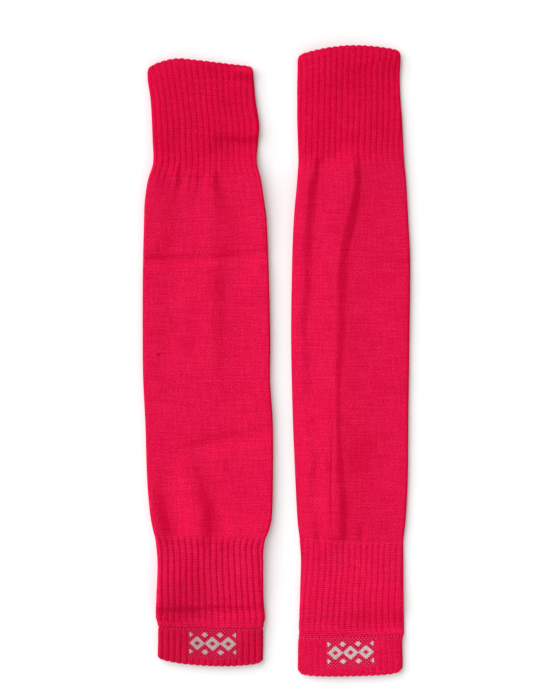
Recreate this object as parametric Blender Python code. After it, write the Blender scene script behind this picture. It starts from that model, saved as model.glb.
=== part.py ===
"""A pair of knitted leg warmers, laid flat side by side with their mouths towards +Y.

Each leg warmer is a tube of four knitted pieces: a ribbed top cuff, a plain leg, a ribbed ankle
cuff and a ribbed hem band with a smooth patch on its front. Laid flat, the tube's upper cloth lies
on its lower cloth, and the lower cloth rests on z = 0. Every piece is a closed wall open at both
ends, lofted through flattened rings: the outer ring carries the ribs and the folds, and the inner
ring is plain. Sizes are in millimetres here, and the meshes are in metres.
"""

import bisect
import math
from collections import namedtuple

import bmesh
import bpy

MM = 0.001

LAID_THICKNESS = 4.0  # both cloths of a tube, with the air between them
CROWN = 0.5  # how much higher the upper cloth lies along the middle
LEG_WALL = 1.4  # plain knit
RIB_WALL = 1.6  # ribbed knit, under its channels
RIB_RELIEF = 0.9  # a rib's height over its channels
RIB_COUNT = 16  # ribs on the upper cloth, between the two side folds
RIB_CREST = (0.3, 0.7)  # where a rib's crest starts and ends, as shares of its pitch
SCALLOP = 0.7  # how far a rib's end stands past its channels at a free edge
SEAM_GAP = 0.3
PATCH_RIBS = (4, 12)  # the smooth patch on the hem band lies between these channels
PATCH_RIB_ENDS = 5.5  # the short ribs below the patch
PATCH_SLOPE = 1.5  # length over which those short ribs rise
ROW_PITCH = 9.0  # longest step between two rows of points
LEG_COLUMNS = 32  # steps across the upper cloth of the plain leg
LOWER_COLUMNS = 4  # steps across the flat lower cloth
OUTER_BENDS = (0.25, 0.5, 0.75)  # points of the outer ring round a side fold, as shares of the way
INNER_BENDS = (0.5,)
RING_TURNS = 4.0  # a ring's stretches: upper cloth, right fold, lower cloth, left fold
SIDE_TAPER = 0.08  # share of the width, at each side, where folds run out

Section = namedtuple("Section", "down centre half")
Edge = namedtuple("Edge", "across down")
Bend = namedtuple("Bend", "along beside height before after")
Piece = namedtuple("Piece", "name upper lower wall ribbed rib_in rib_out welt marks")
Warmer = namedtuple("Warmer", "name axis mouth sections edges folds")
Around = namedtuple("Around", "turn across out height upper_cloth crest")

# A piece runs from its upper edge to its lower one. Its ribs reach full height rib_in below the
# upper edge, start to sink rib_out above the lower one, and leave a plain welt at the bottom.
# The marks are further rows of points, below the upper edge, or above the lower one if negative.
PIECES = (
    Piece("top_cuff", "mouth", "cuff_seam", RIB_WALL, True, 0.0, 4.0, 0.0, ()),
    Piece("leg", "cuff_seam", "ankle_seam", LEG_WALL, False, 0.0, 0.0, 0.0, ()),
    Piece("ankle_cuff", "ankle_seam", "hem_seam", RIB_WALL, True, 2.5, 4.0, 2.5, ()),
    Piece(
        "hem_band", "hem_seam", "hem", RIB_WALL, True, 1.2, 0.0, 0.0,
        (-PATCH_RIB_ENDS, PATCH_SLOPE - PATCH_RIB_ENDS),
    ),
)

# The flat outline of each leg warmer: `down` from its mouth line, its middle lies `centre` to the
# right of its axis, and it is twice `half` wide.
LEFT_SECTIONS = (
    Section(0, -3.8, 36.9),
    Section(10, -3.4, 36.9),
    Section(24, -1.8, 36.5),
    Section(38, -0.3, 37.2),
    Section(52, -0.2, 36.8),
    Section(68, -0.5, 36.2),
    Section(80, -0.9, 39.4),
    Section(94, -0.9, 41.5),
    Section(108, -0.3, 42.7),
    Section(150, 0.0, 44.0),
    Section(220, 0.5, 44.2),
    Section(250, 2.2, 44.4),
    Section(290, 2.9, 43.8),
    Section(316, 3.6, 42.0),
    Section(325, 3.4, 39.9),
    Section(333, 3.1, 37.6),
    Section(346, 3.2, 36.6),
    Section(374, 3.0, 37.0),
    Section(386, 3.2, 37.6),
    Section(391, 3.4, 36.6),
    Section(402, 3.3, 36.4),
    Section(420, 2.9, 36.5),
)
RIGHT_SECTIONS = (
    Section(0, -0.9, 35.9),
    Section(20, -1.4, 35.7),
    Section(48, -0.8, 36.4),
    Section(76, 0.4, 36.7),
    Section(90, 0.6, 37.9),
    Section(118, 0.2, 39.8),
    Section(146, 0.3, 41.1),
    Section(202, -0.3, 41.2),
    Section(258, -0.1, 40.2),
    Section(300, 0.5, 39.0),
    Section(328, 0.6, 37.5),
    Section(342, 0.6, 36.0),
    Section(356, 1.0, 35.5),
    Section(384, 0.6, 36.0),
    Section(405, 0.6, 36.5),
    Section(411, -0.3, 36.2),
    Section(426, -0.4, 36.4),
    Section(437, -0.5, 36.2),
)

# The free edges and the seams, from -1 at the left side fold to 1 at the right one.
LEFT_EDGES = {
    "mouth": (
        Edge(-1, 3.0), Edge(-0.9, -0.3), Edge(-0.6, -3.6), Edge(-0.38, -4.9),
        Edge(-0.1, -3.7), Edge(0.4, -1.5), Edge(0.9, 0.6), Edge(1, 2.8),
    ),
    "cuff_seam": (Edge(-1, 76.5), Edge(0, 78.0), Edge(1, 77.5)),
    "ankle_seam": (Edge(-1, 327.5), Edge(0, 329.0), Edge(1, 330.0)),
    "hem_seam": (Edge(-1, 392.0), Edge(0, 393.0), Edge(1, 393.2)),
    "hem": (
        Edge(-1, 412.8), Edge(-0.92, 414.9), Edge(-0.45, 418.2), Edge(0.3, 419.6),
        Edge(0.9, 417.9), Edge(1, 415.8),
    ),
}
RIGHT_EDGES = {
    "mouth": (
        Edge(-1, 4.4), Edge(-0.9, 2.4), Edge(-0.6, -0.8), Edge(-0.3, -2.9),
        Edge(0.05, -4.0), Edge(0.45, -3.4), Edge(0.88, -1.1), Edge(1, 2.2),
    ),
    "cuff_seam": (Edge(-1, 80.0), Edge(0, 78.2), Edge(1, 77.0)),
    "ankle_seam": (Edge(-1, 340.0), Edge(0, 342.0), Edge(1, 342.0)),
    "hem_seam": (Edge(-1, 409.5), Edge(0, 409.0), Edge(1, 407.5)),
    "hem": (
        Edge(-1, 432.6), Edge(-0.92, 435.2), Edge(-0.5, 436.6), Edge(0.5, 435.8),
        Edge(0.9, 434.1), Edge(1, 431.4),
    ),
}

# The folds of the upper cloth, as ridges (height over 0) and troughs (under 0). Those that run
# down have `along` as the distance below the mouth line and `beside` as the distance right of
# the axis; those that run across have it the other way round. `before` and `after` are the
# widths of the two slopes, on the left and the right or above and below.
LEFT_FOLDS = {
    "down": (
        (  # gathered pleat below the cuff, right of the middle
            Bend(74, 2.5, 0.0, 3, 3), Bend(79, 5.0, -0.8, 3, 3),
            Bend(88, 10.5, -0.8, 4, 4), Bend(108, 13.0, 0.0, 6, 6),
        ),
        (  # soft ridge beside that pleat
            Bend(76, 12.0, 0.0, 5, 10), Bend(90, 18.0, 1.0, 7, 13),
            Bend(112, 22.0, 0.7, 10, 15), Bend(150, 22.0, 0.0, 10, 15),
        ),
        (  # small gathered pleat left of the middle
            Bend(73, -18.5, 0.0, 3, 3), Bend(79, -18.5, -0.6, 3, 3), Bend(98, -18.0, 0.0, 4, 4),
        ),
        (  # soft ridge between the two pleats
            Bend(76, -8.0, 0.0, 8, 8), Bend(92, -6.0, 0.7, 10, 10), Bend(125, -4.0, 0.0, 12, 12),
        ),
        (  # first slanting trough above the ankle
            Bend(282, -35.0, 0.0, 6, 5), Bend(305, -29.5, -0.8, 6, 5),
            Bend(320, -24.0, -0.9, 5, 5), Bend(334, -19.5, 0.0, 4, 4),
        ),
        (  # ridge between the slanting troughs
            Bend(284, -17.0, 0.0, 9, 9), Bend(310, -13.0, 1.3, 9, 8),
            Bend(324, -9.5, 1.2, 8, 7), Bend(336, -7.5, 0.0, 6, 6),
        ),
        (  # second slanting trough
            Bend(276, -4.5, 0.0, 6, 5), Bend(300, -1.0, -0.8, 7, 5),
            Bend(318, 3.5, -0.9, 6, 5), Bend(334, 6.5, 0.0, 4, 4),
        ),
        (  # ridge right of it
            Bend(286, 10.0, 0.0, 9, 12), Bend(310, 13.5, 1.0, 8, 14), Bend(334, 16.0, 0.0, 8, 10),
        ),
    ),
    "across": (
        (  # bulge above the cuff's crease
            Bend(2, 44.5, 0.0, 6, 4), Bend(22, 44.5, 0.5, 7, 4), Bend(37, 43.5, 0.3, 7, 4),
        ),
        (  # crease across the right half of the cuff
            Bend(3, 51.0, 0.0, 4, 4), Bend(14, 51.0, -0.6, 4, 4), Bend(37, 49.5, -0.6, 4, 4),
        ),
        (  # shallow trough across the upper leg
            Bend(-36, 134.0, 0.0, 6, 6), Bend(-20, 134.5, -0.5, 6, 7),
            Bend(15, 133.5, -0.5, 6, 7), Bend(34, 132.5, 0.0, 6, 6),
        ),
        (  # long crease that rises to the right
            Bend(-40, 276.0, 0.0, 7, 7), Bend(-25, 271.5, -0.7, 7, 8),
            Bend(10, 262.0, -0.6, 7, 8), Bend(42, 253.5, 0.0, 7, 7),
        ),
        (  # crease across the ankle cuff
            Bend(-34, 380.0, -0.5, 5, 4), Bend(-10, 380.0, -0.5, 5, 4), Bend(26, 379.0, 0.0, 5, 4),
        ),
    ),
}
RIGHT_FOLDS = {
    "down": (
        (  # main fold, the whole length of the leg, steep on its right
            Bend(74, -1.5, 0.0, 9, 4), Bend(90, 2.5, 2.0, 14, 5), Bend(114, -0.5, 2.2, 16, 5.5),
            Bend(135, -7.0, 1.9, 16, 6), Bend(174, -9.0, 1.3, 16, 6.5),
            Bend(258, -10.2, 1.1, 15, 6), Bend(293, -11.5, 1.7, 14, 5.5),
            Bend(320, -8.0, 2.1, 13, 5), Bend(346, -6.0, 0.0, 8, 4),
        ),
        (  # trough at the foot of that steep side
            Bend(78, 5.5, 0.0, 3, 5), Bend(96, 8.5, -0.8, 4, 7), Bend(140, -0.5, -0.7, 5, 8),
            Bend(190, -2.0, -0.3, 5, 8), Bend(290, -5.0, -0.4, 5, 8),
            Bend(320, -1.0, -0.8, 4, 7), Bend(344, 0.0, 0.0, 3, 5),
        ),
        (  # trough left of the main fold, under the cuff
            Bend(74, -24.0, 0.0, 4, 4), Bend(84, -25.0, -0.9, 4, 5), Bend(104, -28.0, -0.9, 5, 6),
            Bend(140, -33.0, -0.5, 5, 6), Bend(172, -35.0, 0.0, 5, 6),
        ),
    ),
    "across": (
        (  # crease at the right end of the cuff's mouth
            Bend(18, 17.5, 0.0, 4, 4), Bend(28, 17.5, -0.5, 5, 5), Bend(37, 17.0, -0.5, 5, 5),
        ),
        (  # step across the right of the upper leg
            Bend(12, 147.0, 0.0, 7, 7), Bend(26, 147.0, -0.6, 7, 7), Bend(42, 146.0, -0.3, 7, 7),
        ),
        (  # slack across the ankle cuff
            Bend(-30, 386.0, 0.0, 8, 8), Bend(0, 388.0, -0.4, 8, 8), Bend(30, 390.0, 0.0, 8, 8),
        ),
    ),
}

WARMERS = (
    Warmer("left", -49.35, 206.5, LEFT_SECTIONS, LEFT_EDGES, LEFT_FOLDS),
    Warmer("right", 52.0, 216.3, RIGHT_SECTIONS, RIGHT_EDGES, RIGHT_FOLDS),
)

# Base colour (linear), by kind of knit: ribs look a little deeper than the plain leg.
KNIT_COLOURS = {
    "top_cuff": (0.66, 0.005, 0.045, 1.0),
    "leg": (0.78, 0.010, 0.065, 1.0),
    "ankle_cuff": (0.72, 0.008, 0.056, 1.0),
    "hem_band": (0.66, 0.012, 0.052, 1.0),
}
KNIT_ROUGHNESS = 0.85


def reading(rows, at, column):
    """A smooth reading of one column at `at`, on the scale of the rows' first column."""
    places = [row[0] for row in rows]
    values = [getattr(row, column) for row in rows]
    at = min(max(at, places[0]), places[-1])
    first = min(bisect.bisect_right(places, at), len(rows) - 1) - 1

    def slope(row):
        before, after = max(row - 1, 0), min(row + 1, len(rows) - 1)
        return (values[after] - values[before]) / (places[after] - places[before])

    span = places[first + 1] - places[first]
    share = (at - places[first]) / span
    start_weight = (1 + 2 * share) * (1 - share) ** 2
    start_pull = span * share * (1 - share) ** 2
    end_pull = -span * share**2 * (1 - share)
    return (
        start_weight * values[first]
        + (1 - start_weight) * values[first + 1]
        + start_pull * slope(first)
        + end_pull * slope(first + 1)
    )


def ramp(value, full):
    """0 at 0 and 1 from `full` on. With no length to rise over, it is 1 throughout."""
    return 1.0 if full <= 0 else min(max(value / full, 0.0), 1.0)


def fold_lift(fold, along, beside):
    """How far one fold moves the upper cloth up at this point."""
    if not fold[0].along <= along <= fold[-1].along:
        return 0.0
    offset = beside - reading(fold, along, "beside")
    width = reading(fold, along, "before" if offset < 0 else "after")
    slope = min(abs(offset) / width, 1.0)
    return reading(fold, along, "height") * math.cos(slope * math.pi / 2) ** 2


def cloth_lift(warmer, across, beside, down):
    """How far the crown and the folds raise the upper cloth over its laid thickness."""
    lift = sum(fold_lift(fold, down, beside) for fold in warmer.folds["down"])
    lift += sum(fold_lift(fold, beside, down) for fold in warmer.folds["across"])
    return CROWN * (1 - across**2) + lift * ramp(1 - abs(across), 2 * SIDE_TAPER)


def rib_strength(piece, share, from_upper, from_lower):
    """1 where a rib has its full height, less where it runs out, and 0 on the hem's patch.

    `share` is how far across the upper cloth the rib lies, from the left fold to the right one.
    """
    strength = ramp(from_upper, piece.rib_in) * ramp(from_lower - piece.welt, piece.rib_out - piece.welt)
    if piece.name == "hem_band" and PATCH_RIBS[0] < share * RIB_COUNT < PATCH_RIBS[1]:
        strength *= 1 - ramp(from_lower - PATCH_RIB_ENDS + PATCH_SLOPE, PATCH_SLOPE)
    return strength


def flat_ring(wall, tops, bends, bottoms):
    """Points round a flattened tube, `wall` inside its outer face, clockwise as seen from its mouth.

    `tops` are (share of the width, on a crest) pairs from left to right, `bends` are shares of the
    way round a side fold, and `bottoms` are shares of the way back.
    """
    middle = LAID_THICKNESS / 2
    radius = middle - wall
    points = [Around(share, 2 * share - 1, 0.0, LAID_THICKNESS - wall, True, crest) for share, crest in tops]
    for share in bends:
        angle = math.pi * share
        out, rise = radius * math.sin(angle), radius * math.cos(angle)
        points.append(Around(1 + share, 1.0, out, middle + rise, False, False))
    points += [Around(2 + share, 1 - 2 * share, 0.0, wall, False, False) for share in bottoms]
    for share in bends:
        angle = math.pi * share
        out, rise = radius * math.sin(angle), radius * math.cos(angle)
        points.append(Around(3 + share, -1.0, -out, middle - rise, False, False))
    return points


def even_shares(steps):
    return [step / steps for step in range(steps + 1)]


def rib_tops():
    """Shares of the width for the channels and crests of the ribs on the upper cloth."""
    tops = []
    for rib in range(RIB_COUNT):
        tops.append((rib / RIB_COUNT, False))
        tops += [((rib + crest) / RIB_COUNT, True) for crest in RIB_CREST]
    return tops + [(1.0, False)]


def rings_of(piece):
    """The outer and the inner ring of a piece. The inner one is plain and has fewer points."""
    if piece.ribbed:
        outer_tops = rib_tops()
        inner_steps = RIB_COUNT // 2
    else:
        outer_tops = [(share, False) for share in even_shares(LEG_COLUMNS)]
        inner_steps = LEG_COLUMNS // 2
    inner_tops = [(share, False) for share in even_shares(inner_steps)]
    lower = even_shares(LOWER_COLUMNS)
    return (
        flat_ring(0.0, outer_tops, OUTER_BENDS, lower),
        flat_ring(piece.wall, inner_tops, INNER_BENDS, lower),
    )


def row_shares(piece, length):
    """Shares of the way down a piece for its rows of points, one at each mark and none far apart."""
    marks = [mark for mark in piece.marks + (piece.rib_in, -piece.rib_out, -piece.welt) if mark]
    stops = sorted([0.0, length] + [mark if mark > 0 else length + mark for mark in marks])
    downs = [0.0]
    for start, end in zip(stops, stops[1:]):
        steps = math.ceil((end - start) / ROW_PITCH)
        downs += [start + (end - start) * step / steps for step in range(1, steps + 1)]
    return [down / length for down in downs]


def edge_down(warmer, edge, across, side):
    """The line of an edge. At a seam each piece stops half the gap short of it."""
    gap = 0.0 if edge in ("mouth", "hem") else SEAM_GAP / 2
    return reading(warmer.edges[edge], across, "down") + side * gap


def place(warmer, piece, point, share):
    """The point of a ring, at a share of the way down its piece, in metres."""
    upper = edge_down(warmer, piece.upper, point.across, 1)
    lower = edge_down(warmer, piece.lower, point.across, -1)
    down = upper + (lower - upper) * share
    flat = reading(warmer.sections, down, "half") - LAID_THICKNESS / 2
    beside = reading(warmer.sections, down, "centre") + point.across * flat + point.out
    height = point.height
    if point.upper_cloth:
        height += cloth_lift(warmer, point.across, beside, down)
    if point.crest:
        strength = rib_strength(piece, point.turn, down - upper, lower - down)
        height += RIB_RELIEF * strength
        if share == 0 and piece.upper == "mouth":
            down -= SCALLOP
        if share == 1 and piece.lower == "hem":
            down += SCALLOP
    return (MM * (warmer.axis + beside), MM * (warmer.mouth - down), MM * height)


def skin(bm, rows):
    """Faces between the rings of neighbouring rows."""
    for upper, lower in zip(rows, rows[1:]):
        for here in range(len(upper)):
            after = (here + 1) % len(upper)
            bm.faces.new((upper[here], upper[after], lower[after], lower[here]))


def rim(bm, outer, outer_turns, inner, inner_turns):
    """Faces across the wall at one end of a tube, from the outer ring to the sparser inner one."""
    outer_turns, inner_turns = outer_turns + [RING_TURNS], inner_turns + [RING_TURNS]
    steps_out, steps_in = 0, 0
    while steps_out < len(outer) or steps_in < len(inner):
        here_out, here_in = outer[steps_out % len(outer)], inner[steps_in % len(inner)]
        outer_first = steps_in == len(inner) or (
            steps_out < len(outer) and outer_turns[steps_out + 1] <= inner_turns[steps_in + 1]
        )
        if outer_first:
            steps_out += 1
            bm.faces.new((here_out, outer[steps_out % len(outer)], here_in))
        else:
            steps_in += 1
            bm.faces.new((here_out, inner[steps_in % len(inner)], here_in))


def make_piece(warmer, piece, collection):
    outer_ring, inner_ring = rings_of(piece)
    length = edge_down(warmer, piece.lower, 0, -1) - edge_down(warmer, piece.upper, 0, 1)
    shares = row_shares(piece, length)
    bm = bmesh.new()
    outer = [[bm.verts.new(place(warmer, piece, point, share)) for point in outer_ring] for share in shares]
    inner = [[bm.verts.new(place(warmer, piece, point, share)) for point in inner_ring] for share in shares]
    skin(bm, outer)
    skin(bm, inner)
    outer_turns = [point.turn for point in outer_ring]
    inner_turns = [point.turn for point in inner_ring]
    for end in (0, -1):
        rim(bm, outer[end], outer_turns, inner[end], inner_turns)
    bmesh.ops.recalc_face_normals(bm, faces=bm.faces)
    if bm.calc_volume(signed=True) < 0:
        bmesh.ops.reverse_faces(bm, faces=bm.faces)
    bmesh.ops.triangulate(bm, faces=bm.faces)

    name = f"{warmer.name}_{piece.name}"
    mesh = bpy.data.meshes.new(name)
    bm.to_mesh(mesh)
    bm.free()
    mesh.shade_smooth()
    mesh.materials.append(knit_material(name, KNIT_COLOURS[piece.name]))
    collection.objects.link(bpy.data.objects.new(name, mesh))


def knit_material(name, colour):
    material = bpy.data.materials.new(f"{name}_knit")
    material.use_nodes = True
    shader = material.node_tree.nodes["Principled BSDF"]
    shader.inputs["Base Color"].default_value = colour
    shader.inputs["Roughness"].default_value = KNIT_ROUGHNESS
    shader.inputs["Metallic"].default_value = 0.0
    material.diffuse_color = colour
    return material


def main():
    for obj in list(bpy.data.objects):
        bpy.data.objects.remove(obj, do_unlink=True)
    collection = bpy.data.collections.new("leg_warmers")
    bpy.context.scene.collection.children.link(collection)
    for warmer in WARMERS:
        for piece in PIECES:
            make_piece(warmer, piece, collection)


main()
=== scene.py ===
"""A pair of knitted leg warmers, laid flat side by side and seen from straight above."""
from collections import namedtuple

import bpy
import numpy as np
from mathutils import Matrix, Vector


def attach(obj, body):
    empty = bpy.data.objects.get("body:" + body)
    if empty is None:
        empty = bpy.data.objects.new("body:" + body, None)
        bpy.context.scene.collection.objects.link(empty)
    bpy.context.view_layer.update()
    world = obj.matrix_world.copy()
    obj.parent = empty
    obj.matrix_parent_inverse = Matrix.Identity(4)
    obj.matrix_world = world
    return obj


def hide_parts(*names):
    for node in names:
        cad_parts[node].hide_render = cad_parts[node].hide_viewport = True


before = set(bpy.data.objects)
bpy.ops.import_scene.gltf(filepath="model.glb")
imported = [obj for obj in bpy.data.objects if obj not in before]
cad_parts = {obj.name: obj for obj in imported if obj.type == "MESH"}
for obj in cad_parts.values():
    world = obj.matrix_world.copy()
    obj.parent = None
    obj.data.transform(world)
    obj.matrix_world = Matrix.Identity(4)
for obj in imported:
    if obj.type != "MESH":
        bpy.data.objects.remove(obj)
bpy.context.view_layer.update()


# Top cuffs
# The ribbed cuffs that grip below the knee: two wales up and two wales down in soft acrylic yarn,
# with a fine elastic laid in. Each starts its tube, so its mouth is a free, scalloped edge, and the
# tables of how the whole tube lies on the table start here too.

MM = 0.001
LAID_THICKNESS = 4.0  # both cloths of a tube and the air between them, in mm as all sizes here
USUAL_HALF = 38.0  # half of a tube's usual width, laid flat
CROWN = 0.5  # how much higher the upper cloth lies along the middle
SLACK = 0.16  # unevenness of the upper cloth
SLACK_SWELL = 26.0
LOWEST_LIFT = -1.9  # how far the deepest folds can press the upper cloth down
SOFT_FLOOR = 0.2  # how softly they reach that
BOXY_FOLD = 0.35  # how much more sharply a side fold turns over, for each mm that it is thicker
RIB_WALL = 1.6
RIB_PITCH = 4.32
RIBS_ACROSS = 16  # ribs on the upper cloth, between the side folds
RIBS_ROUND_FOLD = 1.5
RIBS_ROUND = 2 * (RIBS_ACROSS + RIBS_ROUND_FOLD)
RIB_SWAY = 0.05  # how far a rib strays sideways, as a share of the pitch
SWAY_SWELL = 24.0
RIB_UNEVEN = 0.12  # how much a rib's height varies, as a share of it
UNEVEN_SWELL = 12.0
SUNK_RIB = 0.55  # how flat the table presses the ribs of the lower cloth
SCALLOP = 0.55  # how far the ends of the ribs stand past their channels at a free edge
SCALLOP_REACH = 3.0  # and how far in from the edge the courses still follow them
SEAM_GAP = 0.02  # the machine knits straight on, so no gap shows between the pieces

RIB_STEPS = 14  # points across a rib of the upper cloth
UNDER_STEPS = 6  # and of the lower one
FOLD_STEPS = 14  # points round a side fold
CAP_STEPS = 6  # and round a free edge
RIBBED_STEPS = (RIBS_ACROSS * RIB_STEPS, RIBS_ACROSS * UNDER_STEPS)
INNER_PITCH = 6.0  # between the inner skin's rows of points
INNER_SHARE = 0.35  # room on the bake's map for a row of the inner skin, against one of the outer

Section = namedtuple("Section", "down centre half")
Edge = namedtuple("Edge", "across down")
Bend = namedtuple("Bend", "along beside height before after")
Lean = namedtuple("Lean", "down left right")
Warmer = namedtuple("Warmer", "name axis mouth sections edges leans down_folds cross_folds seed")

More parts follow.
